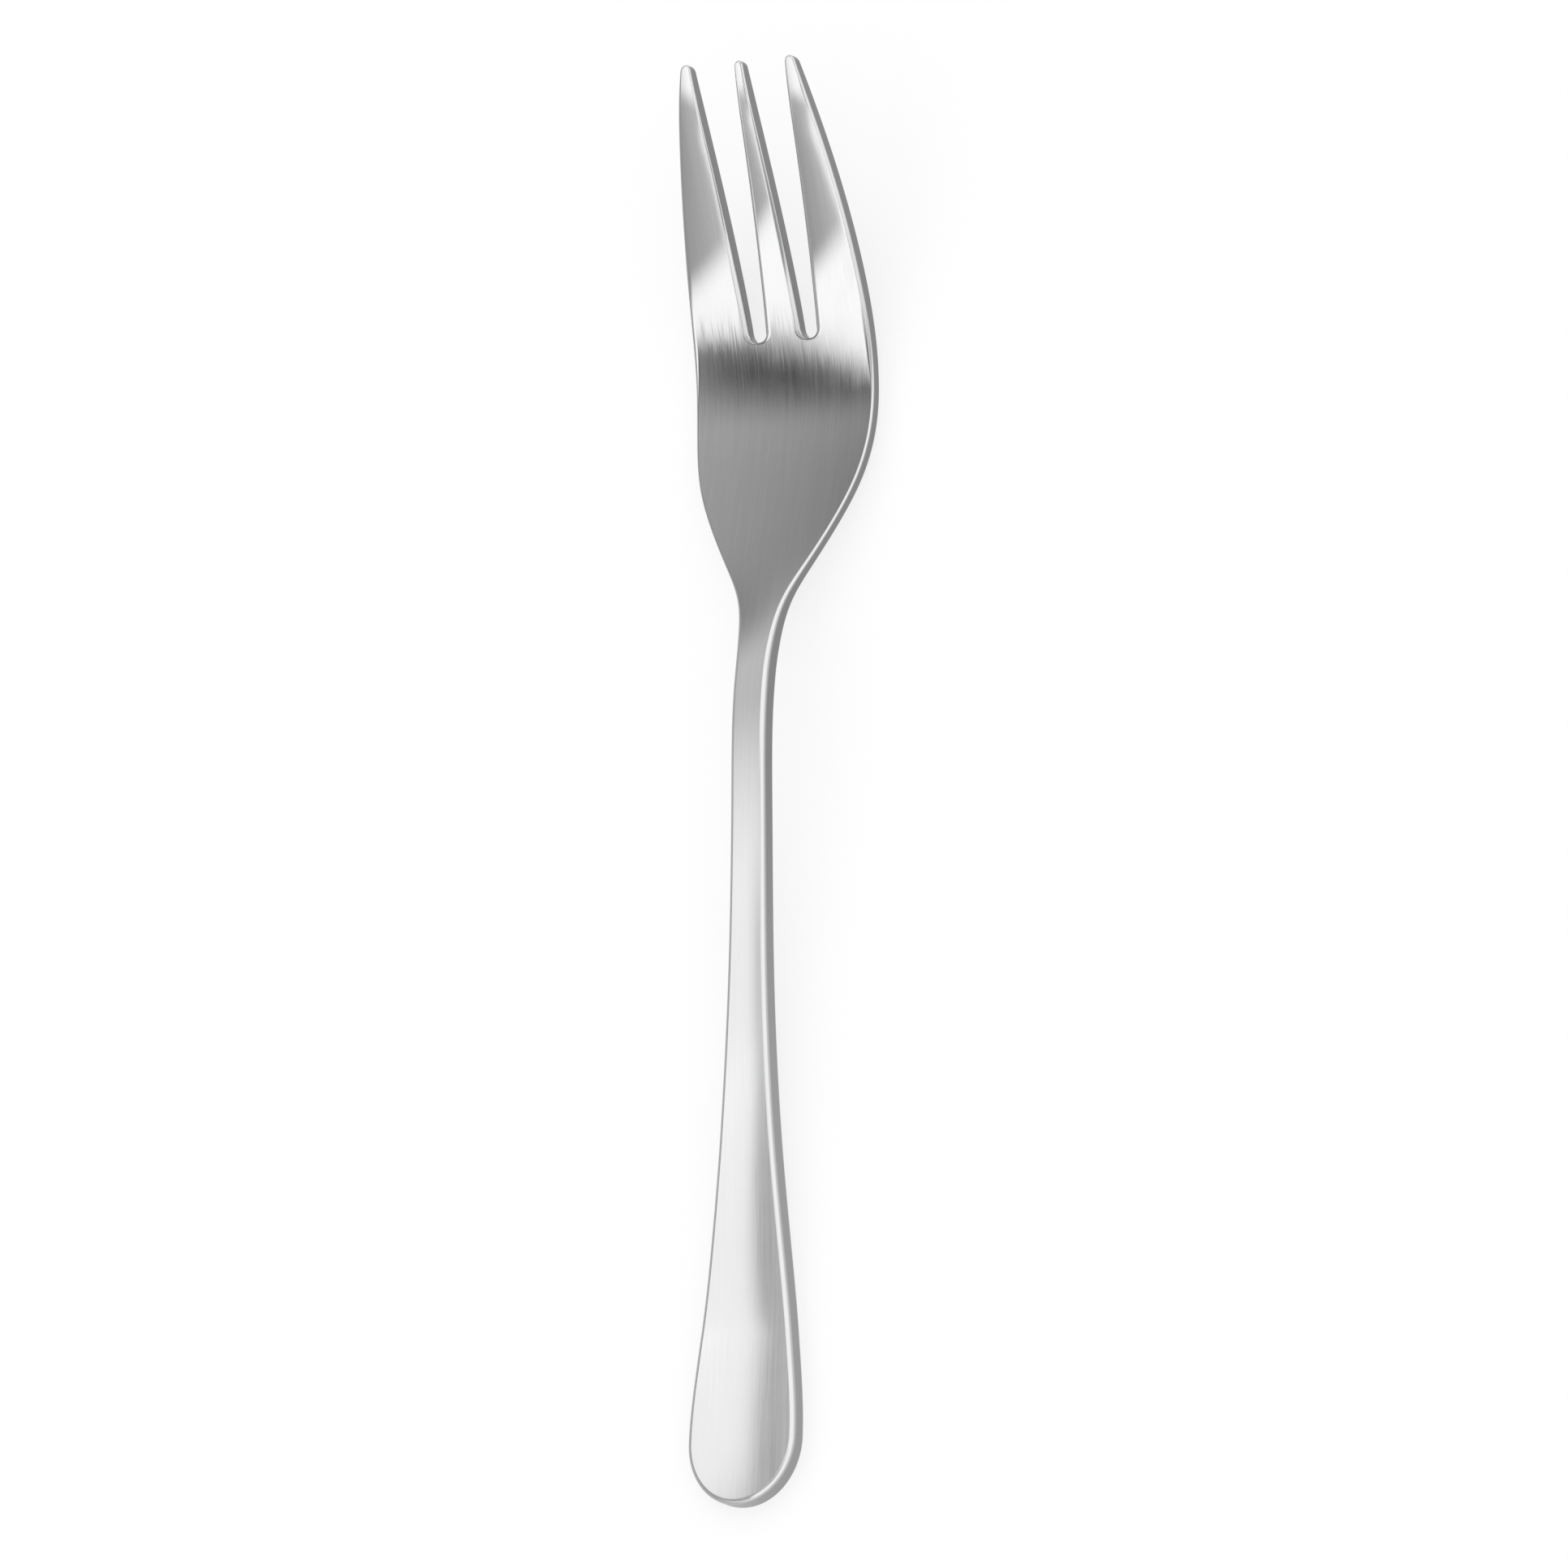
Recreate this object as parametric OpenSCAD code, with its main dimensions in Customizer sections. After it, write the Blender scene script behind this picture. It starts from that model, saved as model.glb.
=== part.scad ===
// A pastry fork, stamped and formed from one piece of sheet steel.
// It lies on its back, tines up, with the table at z = 0. X runs across the fork,
// Y runs from the handle towards the tines, and the middle of its length is at y = 0.
// In this file a station is a distance along Y from the handle's end.

/* [Fork] */
// Length of the fork, along the table
fork_l = 150; // [140:1:165]
// Height of the neck's back above the table, at the top of the arch
arch_h = 4.5; // [2.5:0.1:6.5]
// Height of the tine tips' back above the table
tip_h = 12.7; // [9:0.1:15]

/* [Handle] */
// Width of the handle at its widest
handle_w = 12.9; // [10:0.1:16]
// Length of the handle's rounded end
end_l = 7; // [5:0.1:10]
// Thickness of the handle on its centre line, over the flat rest
handle_t = 2.5; // [1.8:0.05:3]
// Rise of the handle's face from its edges to its centre line, at the widest
crown_h = 0.4; // [0.1:0.05:0.6]
// Length of the flat back under the handle's end, which the fork rests on
rest_l = 18; // [10:0.5:24]
// Radius of the handle's edges
handle_edge_r = 0.55; // [0.3:0.05:0.7]

/* [Neck] */
// Width of the neck
neck_w = 4.1; // [3.2:0.1:6]
// Thickness of the neck on its centre line
neck_t = 2.2; // [1.8:0.05:2.8]
// Length of the straight neck between the handle's taper and the head's shoulders
neck_l = 5; // [2:0.5:10]

/* [Head] */
// Length of the head, from the tine tips to the foot of the shoulders
head_l = 63.3; // [58:0.1:70]
// Width of the head at its widest
head_w = 21.5; // [19:0.1:25]
// Distance from the tine tips to the widest place
widest_l = 31; // [29:0.5:34]
// Distance from the tine tips to the belly, where the head's back meets the table
belly_l = 35; // [32:0.5:40]
// Thickness of the head at its shoulders and belly
head_t = 1.3; // [1:0.05:1.8]
// Height of the dished head's edges above its centre line, at the widest
dish_h = 0.6; // [0.2:0.1:1.5]

/* [Tines] */
// Length of the tines, from their tips to the roots of the slots
tine_l = 27.2; // [22:0.1:28]
// Width across all three tine tips
tips_w = 13.6; // [13:0.1:16]
// Width of the middle tine at its tip
middle_tip_w = 1; // [0.9:0.05:1.6]
// Width of an outer tine at its tip
outer_tip_w = 1.1; // [0.9:0.05:1.8]
// Width of a slot at its round root
slot_root_w = 2; // [1.2:0.1:2.2]
// Length of each tine's rounded tip
tip_l = 0.6; // [0.5:0.05:0.8]
// Thickness of the tines
tine_t = 1.65; // [1.2:0.05:1.9]
// Length of the stretch where the face of the tines slopes down to the tips
slope_l = 6; // [4:0.5:10]
// How far the face has sloped down at the tips
slope_h = 0.4; // [0.1:0.05:0.6]
// Height of the rounding along the edges of the tines and the head
tine_edge_r = 0.28; // [0.15:0.01:0.35]
// How far that rounding reaches in over the face, at most
tine_edge_w = 0.9; // [0.4:0.05:1]

/* [Hidden] */

// Stations of the main places along the fork
shoulder_s = fork_l - head_l;
taper_end_s = shoulder_s - neck_l;
arch_s = shoulder_s - neck_l / 2;
belly_s = fork_l - belly_l;
widest_s = fork_l - widest_l;
slope_s = fork_l - slope_l;
// From the belly on the steel swells to the tines' thickness and its edges grow rounder
swell_l = 17;
edge_swell_l = 9;
half_handle = handle_w / 2;
half_neck = neck_w / 2;
half_head = head_w / 2;

// The handle's taper: shares of the run from its widest place to the neck,
// each with the share of the extra width that is left there
taper_shares = [[0, 1], [0.1, 0.875], [0.2, 0.67], [0.3, 0.477], [0.4, 0.309], [0.5, 0.185],
                [0.65, 0.067], [0.8, 0.02], [1, 0]];
// The shoulders: shares of the run from the neck to the widest place,
// each with the share of the extra width
shoulder_shares = [[0, 0], [0.13, 0.02], [0.26, 0.118], [0.38, 0.358], [0.51, 0.632], [0.64, 0.847],
                   [0.77, 0.959], [0.9, 0.996], [1, 1]];
// The back seen from the side: shares of the run and of the height, from the flat rest up to the arch,
// from the arch down to the belly, and from the belly up to the tips
rise_shares = [[0.15, 0.11], [0.39, 0.4], [0.64, 0.67], [0.85, 0.9]];
fall_shares = [[0.24, 0.84], [0.5, 0.54], [0.77, 0.17]];
tine_rise_shares = [[0.17, 0.058], [0.4, 0.26], [0.69, 0.6]];

// Numbers of rows along each stretch, of columns across it, and of steps round an edge
end_rows = 12;
taper_rows = 26;
neck_rows = 3;
shoulder_rows = 21;
widest_rows = 3;
root_rows = 8;
tine_rows = 16;
tip_rows = 6;
outer_cols = 4;
middle_cols = 4;
edge_steps = 3;
// How strongly rows gather towards the end of a round stretch
row_ease = 1.5;

// A cubic spline through points [place, value], with a level start and a given slope at its end.
// spline_bends gives the second derivative at each point.
function spline_sweep(p, k, done) =
    k == len(p) - 1 ? done :
    let (step = p[k][0] - p[k - 1][0])
    let (next = p[k + 1][0] - p[k][0])
    let (part = step / (step + next))
    let (turn = (p[k + 1][1] - p[k][1]) / next - (p[k][1] - p[k - 1][1]) / step)
    let (low = part * done[k - 1][0] + 2)
    spline_sweep(p, k + 1, concat(done, [[(part - 1) / low,
                                          (6 * turn / (step + next) - part * done[k - 1][1]) / low]]));
function spline_back(rows, k, bends) =
    k < 0 ? bends : spline_back(rows, k - 1, concat([rows[k][0] * bends[0] + rows[k][1]], bends));
function spline_bends(p, end_slope) =
    let (n = len(p) - 1)
    let (first = p[1][0] - p[0][0])
    let (last = p[n][0] - p[n - 1][0])
    let (rows = spline_sweep(p, 1, [[-1 / 2, 3 * (p[1][1] - p[0][1]) / (first * first)]]))
    let (end_turn = 3 * (end_slope - (p[n][1] - p[n - 1][1]) / last) / last)
    let (bend = (end_turn - rows[n - 1][1] / 2) / (rows[n - 1][0] / 2 + 1))
    spline_back(rows, n - 1, [bend]);
function spline_at(p, bends, x) =
    let (k = max([0, for (i = [0 : len(p) - 2]) if (x > p[i][0]) i]))
    let (step = p[k + 1][0] - p[k][0])
    let (a = (p[k + 1][0] - x) / step)
    let (b = 1 - a)
    a * p[k][1] + b * p[k + 1][1]
    + ((a * a * a - a) * bends[k] + (b * b * b - b) * bends[k + 1]) * step * step / 6;

// A blend from 0 to 1 that starts and ends level and without a bend
function blend(share) =
    let (u = min(1, max(0, share)))
    u * u * u * (u * (u * 6 - 15) + 10);

// The plan: half the fork's width at a station, without the handle's round end
taper_points = [for (p = taper_shares) [end_l + p[0] * (taper_end_s - end_l),
                                        half_neck + p[1] * (half_handle - half_neck)]];
taper_bends = spline_bends(taper_points, 0);
shoulder_points = [for (p = shoulder_shares) [shoulder_s + p[0] * (widest_s - shoulder_s),
                                              half_neck + p[1] * (half_head - half_neck)]];
shoulder_bends = spline_bends(shoulder_points, 0);
function flank(s) = half_head - (half_head - tips_w / 2) * pow((s - widest_s) / widest_l, 2);
function half_plan(s) =
    s < end_l ? half_handle :
    s < taper_end_s ? spline_at(taper_points, taper_bends, s) :
    s < shoulder_s ? half_neck :
    s < widest_s ? spline_at(shoulder_points, shoulder_bends, s) :
    flank(s);

// The side view: the height of the back on the centre line
function stretch(shares, s0, s1, z0, z1) =
    [for (p = shares) [s0 + p[0] * (s1 - s0), z0 + p[1] * (z1 - z0)]];
fall_points = [for (p = fall_shares) [arch_s + p[0] * (belly_s - arch_s), p[1] * arch_h]];
back_points = concat([[rest_l, 0]],
                     stretch(rise_shares, rest_l, arch_s, 0, arch_h), [[arch_s, arch_h]],
                     fall_points, [[belly_s, 0]],
                     stretch(tine_rise_shares, belly_s, fork_l, 0, tip_h), [[fork_l, tip_h]]);
last_share = tine_rise_shares[len(tine_rise_shares) - 1];
tip_slope = tip_h / belly_l * (1 - last_share[1]) / (1 - last_share[0]);
back_bends = spline_bends(back_points, tip_slope);
function back(s) = s < rest_l ? 0 : spline_at(back_points, back_bends, s);

// From 0 on the handle to 1 on the head, over the shoulders
function headness(s) = blend((s - arch_s) / (belly_s - arch_s) * 3 / 2);
function handle_thickness(s) = handle_t + (neck_t - handle_t) * blend((s - rest_l) / (taper_end_s - rest_l));
function head_thickness(s) = head_t + (tine_t - head_t) * blend((s - belly_s) / swell_l);
function thickness(s) =
    handle_thickness(s) + (head_thickness(s) - handle_thickness(s)) * headness(s)
    - slope_h * pow(max(0, s - slope_s) / slope_l, 2);
// An edge's rounding: its height, and how far it reaches in over the face and the back
function edge_r(s) = handle_edge_r + (tine_edge_r - handle_edge_r) * headness(s);
function edge_w(s) =
    edge_r(s) + (tine_edge_w - tine_edge_r) * blend((s - belly_s) / edge_swell_l) * (fork_l - s) / belly_l;
function dish(x, s) = dish_h * headness(s) * pow(x / half_head, 2);
function crown(x, s) = crown_h * (1 - headness(s)) * half_plan(s) / half_handle * pow(x / half_plan(s), 2);
function back_z(x, s) = back(s) + dish(x, s);
function face_z(x, s) = back(s) + thickness(s) + dish(x, s) - crown(x, s);

// The slots: straight leaning walls that run tangent into a round root
slot_mouth_w = (tips_w - middle_tip_w) / 2 - outer_tip_w;
slot_x = (middle_tip_w + slot_mouth_w) / 2;
slot_r = slot_root_w / 2;
root_q = tine_l - slot_r;
mouth = slot_mouth_w / 2;
slot_lean = acos(slot_r / norm([mouth, root_q])) - atan2(root_q, mouth);
wall_q = root_q + slot_r * sin(slot_lean);
function slot_half(q) = mouth - q * tan(slot_lean);

// Outline points on the right half, as [x, station]
function eased(k, n) = pow(k / n, row_ease);
function round_x(share) = sqrt(1 - (1 - share) * (1 - share));
root_s = fork_l - tine_l - tine_edge_w;
body_s = concat([for (k = [1 : taper_rows]) end_l + (taper_end_s - end_l) * k / taper_rows],
                [for (k = [1 : neck_rows]) taper_end_s + neck_l * k / neck_rows],
                [for (k = [1 : shoulder_rows]) shoulder_s + (widest_s - shoulder_s) * k / shoulder_rows],
                [for (k = [1 : widest_rows]) widest_s + (root_s - widest_s) * k / widest_rows]);
end_shares = [for (k = [0 : end_rows]) eased(k, end_rows)];
body_rim = concat([for (share = end_shares) [half_handle * round_x(share), end_l * share]],
                  [for (s = body_s) [half_plan(s), s]]);
// Distances from the tips of the rows along the straight walls and round the tips
wall_rows_q = [for (k = [1 : tine_rows]) wall_q + (tip_l - wall_q) * k / tine_rows];
tip_rows_q = [for (k = [1 : tip_rows]) tip_l * eased(tip_rows - k, tip_rows)];
tine_rows_q = concat(wall_rows_q, tip_rows_q);
// One outer tine: its flank outside, its slot wall inside, closed by a round tip
function tip_share(q) = q < tip_l ? round_x(q / tip_l) : 1;
function outer_middle(q) = (slot_x + slot_half(q) + flank(fork_l - q)) / 2;
function outer_half(q) = (flank(fork_l - q) - slot_x - slot_half(q)) / 2;
function outer_side(q, side) = [outer_middle(q) + side * tip_share(q) * outer_half(q), fork_l - q];
root_flank_s = [for (k = [1 : root_rows]) root_s + (fork_l - wall_q - root_s) * k / root_rows];
outer_rim = concat([for (s = root_flank_s) [flank(s), s]],
                   [for (q = tine_rows_q) outer_side(q, 1)]);
// Cosines of the places round half of a slot's root, from its lowest point to its wall
root_cos = [for (k = [0 : root_rows]) 1 - eased(k, root_rows) * (1 - sin(slot_lean))];
function root_point(c, side) = [slot_x + side * slot_r * sqrt(1 - c * c), fork_l - root_q - slot_r * c];
inner_rim = concat([for (k = [0 : root_rows]) root_point(root_cos[k], 1)],
                   [for (q = tine_rows_q) outer_side(q, -1)]);
middle_rim = concat([for (k = [0 : root_rows]) root_point(root_cos[k], -1)],
                    [for (q = tine_rows_q) [tip_share(q) * (slot_x - slot_half(q)), fork_l - q]]);

// The whole outline, counter-clockwise from the handle's end. The left half mirrors the right.
tine_count = root_rows + tine_rows + tip_rows;
body_count = len(body_rim) - 1;
right_rim = concat(body_rim, outer_rim,
                   [for (k = [1 : tine_count]) inner_rim[tine_count - k]],
                   [for (k = [1 : tine_count]) middle_rim[k]]);
rim_half = len(right_rim) - 1;
rim_count = 2 * rim_half;
function mirror_x(p) = [-p[0], p[1]];
rim = concat(right_rim, [for (k = [1 : rim_half - 1]) mirror_x(right_rim[rim_half - k])]);
function mirrored(k) = (rim_count - k) % rim_count;
function inner_id(row) = body_count + 2 * tine_count - row;
function middle_id(row) = body_count + 2 * tine_count + row;

// The outline's outward direction at each point, and its inset where the face and the back begin
rim_out = [for (k = [0 : rim_count - 1])
    let (run = rim[(k + 1) % rim_count] - rim[mirrored(mirrored(k) + 1)])
    [run[1], -run[0]] / norm(run)];
inset = [for (k = [0 : rim_count - 1]) rim[k] - rim_out[k] * edge_w(rim[k][1])];

// Points between the inset edges, row by row
all_cols = 2 * outer_cols + middle_cols;
slot_share = inset[inner_id(0)][0] / inset[body_count][0];
col_shares = concat([for (k = [1 : outer_cols]) -1 + k * (1 - slot_share) / outer_cols],
                    [for (k = [1 : middle_cols]) slot_share * (2 * k / middle_cols - 1)],
                    [for (k = [1 : outer_cols - 1]) slot_share + k * (1 - slot_share) / outer_cols]);
function between(a, b, n) = [for (k = [1 : n - 1]) a + (b - a) * k / n];
function tine_row(row) =
    concat(between(inset[mirrored(body_count + row)], inset[mirrored(inner_id(row))], outer_cols),
           between(inset[mirrored(middle_id(row))], inset[middle_id(row)], middle_cols),
           between(inset[inner_id(row)], inset[body_count + row], outer_cols));
field = concat([for (k = [1 : body_count - 1], c = col_shares) [c * inset[k][0], inset[k][1]]],
               [for (row = [0 : tine_count - 1], p = tine_row(row)) p]);
function body_field(k) = (k - 1) * (all_cols - 1);
function tine_field(row) = (body_count - 1) * (all_cols - 1) + row * (all_cols - 3);

// Corner points: rings down the rounded edge, then the field of the face and that of the back
function at(p, z) = [p[0], p[1] - fork_l / 2, z];
function edge_ring(turn, top) = [for (k = [0 : rim_count - 1])
    let (r = edge_r(rim[k][1]))
    let (p = inset[k] + rim_out[k] * edge_w(rim[k][1]) * sin(turn))
    at(p, top ? face_z(inset[k][0], inset[k][1]) - r * (1 - cos(turn))
              : back_z(inset[k][0], inset[k][1]) + r * (1 - cos(turn)))];
ring_count = 2 * (edge_steps + 1);
points = concat([for (k = [0 : edge_steps], p = edge_ring(k * 90 / edge_steps, true)) p],
                [for (k = [0 : edge_steps], p = edge_ring(90 - k * 90 / edge_steps, false)) p],
                [for (p = field) at(p, face_z(p[0], p[1]))],
                [for (p = field) at(p, back_z(p[0], p[1]))]);

// Rows of corner numbers on one side, face or back
function span(first, n) = [for (k = [0 : n - 1]) first + k];
function shifted(ids, first) = [for (id = ids) id + first];
function body_ids(k, ring, fields) =
    k == 0 ? [ring] :
    concat([ring + mirrored(k)], span(fields + body_field(k), all_cols - 1), [ring + k]);
function left_ids(row, ring, fields) =
    row == tine_count ? [ring + mirrored(inner_id(row))] :
    concat([ring + mirrored(body_count + row)], span(fields + tine_field(row), outer_cols - 1),
           [ring + mirrored(inner_id(row))]);
function middle_ids(row, ring, fields) =
    row == tine_count ? [ring + middle_id(row)] :
    concat([ring + mirrored(middle_id(row))],
           span(fields + tine_field(row) + outer_cols - 1, middle_cols - 1), [ring + middle_id(row)]);
function right_ids(row, ring, fields) =
    row == tine_count ? [ring + inner_id(row)] :
    concat([ring + inner_id(row)],
           span(fields + tine_field(row) + outer_cols + middle_cols - 2, outer_cols - 1),
           [ring + body_count + row]);
// The row at the slots' roots is the last of the handle and head and the first of the tines
function tail(list) = [for (k = [1 : len(list) - 1]) list[k]];
function root_ids(ring, fields) =
    concat(left_ids(0, ring, fields), tail(middle_ids(0, ring, fields)), tail(right_ids(0, ring, fields)));

// Triangles between two rows. A row of one corner makes a fan.
function strip(low, high) =
    len(low) == 1 ? [for (k = [0 : len(high) - 2]) [low[0], high[k], high[k + 1]]] :
    len(high) == 1 ? [for (k = [0 : len(low) - 2]) [low[k], high[0], low[k + 1]]] :
    [for (k = [0 : len(low) - 2]) each [[low[k], high[k], high[k + 1]], [low[k], high[k + 1], low[k + 1]]]];
function flipped(faces) = [for (f = faces) [f[0], f[2], f[1]]];
function side_faces(ring, fields) = concat(
    [for (k = [0 : body_count - 2], f = strip(body_ids(k, ring, fields), body_ids(k + 1, ring, fields))) f],
    strip(body_ids(body_count - 1, ring, fields), root_ids(ring, fields)),
    [for (row = [0 : tine_count - 1]) each concat(
        strip(left_ids(row, ring, fields), left_ids(row + 1, ring, fields)),
        strip(middle_ids(row, ring, fields), middle_ids(row + 1, ring, fields)),
        strip(right_ids(row, ring, fields), right_ids(row + 1, ring, fields)))]);
face_field = ring_count * rim_count;
back_ring = face_field - rim_count;
back_field = face_field + len(field);
edge_faces = [for (ring = [0 : ring_count - 2], k = [0 : rim_count - 1])
    let (next = (k + 1) % rim_count)
    let (a = ring * rim_count + k)
    let (b = ring * rim_count + next)
    each [[a, b, b + rim_count], [a, b + rim_count, a + rim_count]]];
faces = concat(side_faces(0, face_field), edge_faces, flipped(side_faces(back_ring, back_field)));

// The fork: tines, head, neck and handle in one piece of steel
module fork() {
    color("silver")
        polyhedron(points = points, faces = faces, convexity = 6);
}

fork();
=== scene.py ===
"""Looks of a one-piece pastry fork: polished skin, satin steel, white table and studio light."""

import math

import bpy
import numpy as np
from mathutils import Matrix, Vector


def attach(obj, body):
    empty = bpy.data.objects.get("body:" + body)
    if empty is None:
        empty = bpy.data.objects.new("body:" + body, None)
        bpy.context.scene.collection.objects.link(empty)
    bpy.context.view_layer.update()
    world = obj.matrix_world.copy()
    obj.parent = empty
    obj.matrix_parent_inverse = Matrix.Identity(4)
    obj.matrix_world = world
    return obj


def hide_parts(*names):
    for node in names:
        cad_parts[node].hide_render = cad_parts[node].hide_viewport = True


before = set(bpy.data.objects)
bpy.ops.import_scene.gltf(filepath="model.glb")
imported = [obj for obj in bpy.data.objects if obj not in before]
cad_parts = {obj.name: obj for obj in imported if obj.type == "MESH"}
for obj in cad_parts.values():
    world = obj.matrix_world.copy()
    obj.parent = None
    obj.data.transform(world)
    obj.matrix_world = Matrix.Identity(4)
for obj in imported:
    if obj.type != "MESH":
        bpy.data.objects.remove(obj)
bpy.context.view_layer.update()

MM = 0.001
WHITE = (1, 1, 1, 1)

# Sizes of the fork, in millimetres, as in the CAD model
FORK_L = 150
ARCH_H = 4.5
TIP_H = 12.7
HANDLE_W = 12.9
END_L = 7
HANDLE_T = 2.5
CROWN_H = 0.4
REST_L = 18
HANDLE_EDGE_R = 0.55
NECK_W = 4.1
NECK_T = 2.2
NECK_L = 5
HEAD_L = 63.3
HEAD_W = 21.5
WIDEST_L = 31
BELLY_L = 35
HEAD_T = 1.3
DISH_H = 0.6
TINE_L = 27.2
TIPS_W = 13.6
MIDDLE_TIP_W = 1
OUTER_TIP_W = 1.1
SLOT_ROOT_W = 2
TIP_L = 0.6
TINE_T = 1.65
SLOPE_L = 6
SLOPE_H = 0.4
TINE_EDGE_R = 0.28
TINE_EDGE_W = 0.9
SWELL_L = 17
EDGE_SWELL_L = 9
# How much sooner than at the belly the handle's section has turned into the head's
HEAD_SOONER = 1.5

# Stations along the fork, measured from the handle's end
SHOULDER_S = FORK_L - HEAD_L
TAPER_END_S = SHOULDER_S - NECK_L
ARCH_S = SHOULDER_S - NECK_L / 2
BELLY_S = FORK_L - BELLY_L
WIDEST_S = FORK_L - WIDEST_L
SLOPE_S = FORK_L - SLOPE_L

# The slots: straight leaning walls that run tangent into a round root.
# Distances called q are measured from the tine tips.
SLOT_MOUTH_W = (TIPS_W - MIDDLE_TIP_W) / 2 - OUTER_TIP_W
SLOT_X = (MIDDLE_TIP_W + SLOT_MOUTH_W) / 2
SLOT_R = SLOT_ROOT_W / 2
ROOT_Q = TINE_L - SLOT_R
MOUTH = SLOT_MOUTH_W / 2
SLOT_LEAN = math.acos(SLOT_R / math.hypot(MOUTH, ROOT_Q)) - math.atan2(ROOT_Q, MOUTH)
WALL_Q = ROOT_Q + SLOT_R * math.sin(SLOT_LEAN)

# The plan and the side view, as shares of the runs and of the widths or heights that they follow
TAPER_SHARES = [
    (0, 1), (0.1, 0.875), (0.2, 0.67), (0.3, 0.477), (0.4, 0.309), (0.5, 0.185),
    (0.65, 0.067), (0.8, 0.02), (1, 0),
]
SHOULDER_SHARES = [
    (0, 0), (0.13, 0.02), (0.26, 0.118), (0.38, 0.358), (0.51, 0.632), (0.64, 0.847),
    (0.77, 0.959), (0.9, 0.996), (1, 1),
]
RISE_SHARES = [(0.15, 0.11), (0.39, 0.4), (0.64, 0.67), (0.85, 0.9)]
FALL_SHARES = [(0.24, 0.84), (0.5, 0.54), (0.77, 0.17)]
TINE_RISE_SHARES = [(0.17, 0.058), (0.4, 0.26), (0.69, 0.6)]

# Rows, columns and edge steps of the skin
END_ROWS = 30
TAPER_ROWS = 90
NECK_ROWS = 8
SHOULDER_ROWS = 66
WIDEST_ROWS = 14
ROOT_ROWS = 16
TINE_ROWS = 54
TIP_ROWS = 14
OUTER_COLS = 10
MIDDLE_COLS = 8
EDGE_STEPS = 7
ROW_EASE = 1.5
# The undivided head ends this many edge radii before the slots
ROOT_ROOM = 1.2

# How far round an edge the wall's rougher finish and painted shade start: in general, and in the
# slots' roots, which are told by the outline's direction along the fork; there they start before
# the rounding, so the roots get painted shade
WALL_TURN = math.radians(38)
ROOT_WALL_TURN = math.radians(-30)
ROOT_DIRECTION = 0.3
ROOT_DIRECTION_RUN = 0.5
ROOT_END_S = FORK_L - TINE_L + SLOT_ROOT_W
UV_SCALE = 5

# From here on a soft step is (middle, width) or (middle, width, value before, value after),
# in millimetres where its comment names nothing else, and goes from 0 to 1 without values.

# The steel's finish, and the painted shade of its walls
FACE_TONE = 0.75
# The walls' colour is darker than the face's. This is painted shade standing in for the darker
# reflections on the fork's sides, and it is darkest on the tines.
HANDLE_WALL_SHADED_TONE = 0.34
TINE_WALL_SHADED_TONE = 0.24
BLUE_TINT = 1.005
FACE_ROUGHNESS = (0.12, 0.16)
PATCH_ROUGHNESS = (-0.015, 0.015)
WALL_ROUGHNESS = (0.22, 0.38)
ANISOTROPY = 0.7
BUMP_DEPTH = 0.002
HANDLE_WAVE = 0.02
HEAD_WAVE = 0.07
# Its marks: noise across and along per millimetre, and for the waves the noise's detail
FINE_MARKS = (5, 0.1)
BROAD_MARKS = (1.6, 0.05)
WALL_MARKS = (7, 0.25)
WAVE_MARKS = (5.5, 0.26, 3)
FINE_SHARE = 0.6
BROAD_SHARE = 0.4
PATCH_SCALE = 0.35
PATCH_DETAIL = 3
# The soft step in the noise between dull and bright marks
NOISE_MIDDLE = 0.5
MARK_BORDER = (NOISE_MIDDLE, 0.5)
MARK_TONES = (0.975, 1.02)
# Where along the fork the walls' painted shade and the face's waves turn from the handle's to the
# head's
WALL_SHADE_STEP = (62, 40, HANDLE_WALL_SHADED_TONE, TINE_WALL_SHADED_TONE)
WAVE_STEP = (100, 24, HANDLE_WAVE, HEAD_WAVE)

# The view: from above, round to the fork's right and towards its handle's end,
# with the fork leaning a little to the right in the picture
VIEW_RIGHT = math.radians(32)
VIEW_BACK = math.radians(12.5)
VIEW_LEAN = math.radians(2.38)
AIM = Vector((0.65, 1.31, 0)) * MM
PICTURE_W = 161.6 * MM
CAMERA_DISTANCE = 6
CAMERA_REACH = 10
SENSOR_W = 36

# The white floor, the share of its own glow in it, and the glow that the steel mirrors at the left
FLOOR_HALF = 1200
FLOOR_COLOUR = (0.96, 0.96, 0.96, 1)
FLOOR_ROUGHNESS = 0.7
FLOOR_SPECULAR = 0.1
FLOOR_GLOW = 0.7
LEFT_FLOOR = (-8, 8, 1, 0)
LEFT_FLOOR_GLOW = 0.3

# The side panel: its corners and height, then the borders of its white box along y and x.
# The far border lies further out at the left and a little further out at the right, and the
# right border lies further to the right at the far side.
SIDE_PANEL = (-420, -260, -24, 320, 130.7)
BOX_NEAR = (-44, 12)
BOX_FAR = (-8, 14, 1, 0)
BOX_FAR_LEFT = (-103, 50, 60, 0)
BOX_FAR_RIGHT = (-75, 14, 0, 7)
BOX_RIGHT = (-66.8, 12.3, 1, 0)
BOX_RIGHT_FAR = (-22, 30, 0, 20)
BOX_LEFT = (-168, 44)
BOX_GLOW = (-18, 12, 1.16, 1.36)
# The dark gap beyond the box, between two borders that slope from one x, and its two ends
GAP_X = -90
GAP_NEAR = (18, 28)
GAP_NEAR_SLOPE = 0.85
GAP_FAR = (60, 72, 1, 0)
GAP_FAR_SLOPE = 0.45
GAP_RIGHT = (-54, 20, 1, 0)
GAP_LEFT = (-119.6, 60)
GAP_GLOW = 0.025
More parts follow.
